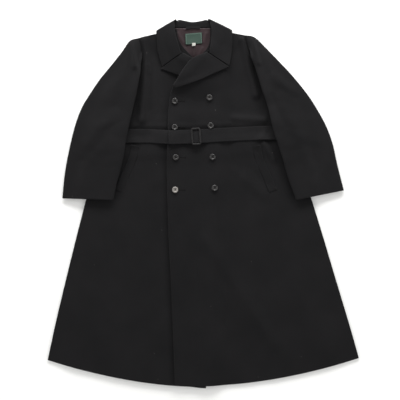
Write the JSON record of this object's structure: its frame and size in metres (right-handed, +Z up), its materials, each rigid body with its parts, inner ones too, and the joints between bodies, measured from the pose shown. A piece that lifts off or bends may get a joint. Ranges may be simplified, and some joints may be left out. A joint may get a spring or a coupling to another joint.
{
  "type": "double-breasted coat",
  "caption": "Long double-breasted wool coat with notched lapels, set-in sleeves, slanted pockets and a buckled belt, laid flat.",
  "frame": {"origin": "on the surface the coat lies on, at the middle of its width and length", "axes": "+Y to the collar, +X to the wearer's left side, +Z up through the cloth"},
  "size_m": [1.01, 1.1939, 0.0315],
  "materials": {
    "cloth": "matt near-black wool twill",
    "lining": "soft-sheen plum lining",
    "label": "woven dark green label, bare",
    "tag": "white woven tag, bare",
    "button": "polished dark horn-like",
    "pale_button": "polished pale horn-like",
    "buckle": "polished dark shell"
  },
  "bodies": {
    "root": {"back": "cloth", "front_right": "cloth", "front_left": "cloth", "lapel_right": "cloth", "lapel_left": "cloth", "collar": "cloth", "collar_stand": "cloth", "sleeve_right": "cloth", "sleeve_left": "cloth", "pocket_welt_right": "cloth", "pocket_welt_left": "cloth", "facing_right": "cloth", "facing_left": "cloth", "belt": "cloth", "hanger_loop": "cloth", "lining_back": "lining", "neck_label": "label", "size_tag": "tag", "buckle": "buckle", "button_1": "button", "button_2": "button", "button_3": "button", "button_4": "pale_button", "button_5": "button", "button_6": "button", "button_7": "button", "button_8": "button"}
  },
  "joints": []
}
